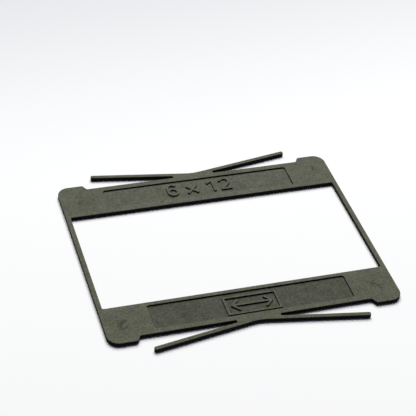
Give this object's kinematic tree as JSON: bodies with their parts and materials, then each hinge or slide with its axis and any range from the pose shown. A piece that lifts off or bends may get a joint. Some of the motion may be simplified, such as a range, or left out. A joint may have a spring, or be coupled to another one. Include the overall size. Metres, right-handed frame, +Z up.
{
  "type": "negative carrier",
  "caption": "Flat rectangular negative carrier with an open panoramic film gate, corner lugs, recessed label panels and splayed spring arms.",
  "frame": {"origin": "centre of the underside, under the middle of the film gate", "axes": "+X along the long side of the gate to the right, +Y to the rear rail with the size numerals, +Z up out of the labelled face"},
  "size_m": [0.1182, 0.1076, 0.0017],
  "materials": {
    "printed_plastic": "matte dark olive-grey print with a fine grain",
    "panel_floor": "matte, slightly darker, with faint slanting print lines",
    "raised_label": "matte dark olive-grey print"
  },
  "bodies": {
    "carrier": {"left_side_bar": "printed_plastic", "right_side_bar": "printed_plastic", "front_rail": "printed_plastic", "front_label_panel": "panel_floor", "front_spring_yoke": "printed_plastic", "front_left_corner_lug": "printed_plastic", "front_left_spring_root": "printed_plastic", "front_right_corner_lug": "printed_plastic", "front_right_spring_root": "printed_plastic", "rear_rail": "printed_plastic", "rear_label_panel": "panel_floor", "rear_spring_yoke": "printed_plastic", "rear_left_corner_lug": "printed_plastic", "rear_left_spring_root": "printed_plastic", "rear_right_corner_lug": "printed_plastic", "rear_right_spring_root": "printed_plastic", "size_numerals": "raised_label", "direction_mark": "raised_label"},
    "front_left_arm": {"front_left_spring_arm": "printed_plastic"},
    "front_right_arm": {"front_right_spring_arm": "printed_plastic"},
    "rear_left_arm": {"rear_left_spring_arm": "printed_plastic"},
    "rear_right_arm": {"rear_right_spring_arm": "printed_plastic"}
  },
  "joints": [
    {"name": "front_left_arm_flex", "type": "hinge", "parent": "carrier", "child": "front_left_arm", "pos_m": [-0.01395, -0.04811, 0.00085], "axis": [0, 0, -1], "range_deg": [0, 12.3], "stiffness_Nm_per_rad": 0.11},
    {"name": "front_right_arm_flex", "type": "hinge", "parent": "carrier", "child": "front_right_arm", "pos_m": [0.01395, -0.04811, 0.00085], "axis": [0, 0, 1], "range_deg": [0, 12.3], "stiffness_Nm_per_rad": 0.11},
    {"name": "rear_left_arm_flex", "type": "hinge", "parent": "carrier", "child": "rear_left_arm", "pos_m": [-0.01395, 0.04811, 0.00085], "axis": [0, 0, 1], "range_deg": [0, 12.3], "stiffness_Nm_per_rad": 0.11},
    {"name": "rear_right_arm_flex", "type": "hinge", "parent": "carrier", "child": "rear_right_arm", "pos_m": [0.01395, 0.04811, 0.00085], "axis": [0, 0, -1], "range_deg": [0, 12.3], "stiffness_Nm_per_rad": 0.11}
  ]
}
